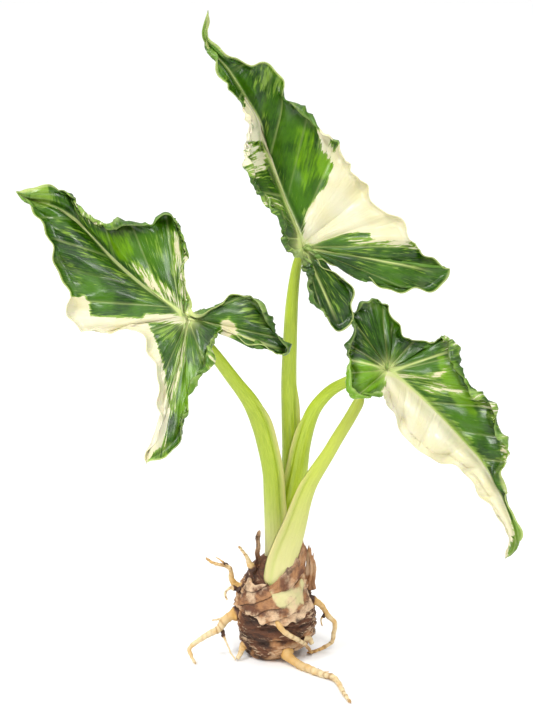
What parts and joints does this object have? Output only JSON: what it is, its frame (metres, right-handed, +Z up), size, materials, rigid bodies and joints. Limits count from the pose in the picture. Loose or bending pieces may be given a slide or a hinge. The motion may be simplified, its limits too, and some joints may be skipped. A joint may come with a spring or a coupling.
{
  "type": "alocasia corm",
  "caption": "A bare-rooted variegated alocasia plant, standing on its brown corm and roots, with pale green stalks and puckered green and cream leaves.",
  "frame": {"origin": "the middle of the flat base of the corm, on the surface that the plant stands on", "axes": "+Z up along the plant, -Y toward the front that the upper faces of the leaves look to, +X to the viewer's right"},
  "size_m": [0.2497, 0.1083, 0.3304],
  "materials": {
    "corm_skin": "matte",
    "old_leaf_base": "matte",
    "root_skin": "matte",
    "stalk": "satin",
    "leaf_blade": "satin"
  },
  "bodies": {
    "root": {"corm": "corm_skin", "leaf_base_front": "old_leaf_base", "leaf_base_right": "old_leaf_base", "leaf_base_far_right": "old_leaf_base", "leaf_base_left": "old_leaf_base", "petiole_outer_right": "stalk", "petiole_left": "stalk", "petiole_inner_right": "stalk", "petiole_centre": "stalk", "blade_left": "leaf_blade", "blade_top": "leaf_blade", "blade_right": "leaf_blade", "root_front_long": "root_skin", "root_front_upper": "root_skin", "root_right_loop": "root_skin", "root_left_upper": "root_skin", "root_left_top": "root_skin", "root_left_mid": "root_skin", "root_left_low": "root_skin", "root_right_stub": "root_skin", "root_left_fibre": "root_skin", "root_back_left": "root_skin", "root_back_middle": "root_skin", "root_back_right": "root_skin"}
  },
  "joints": []
}
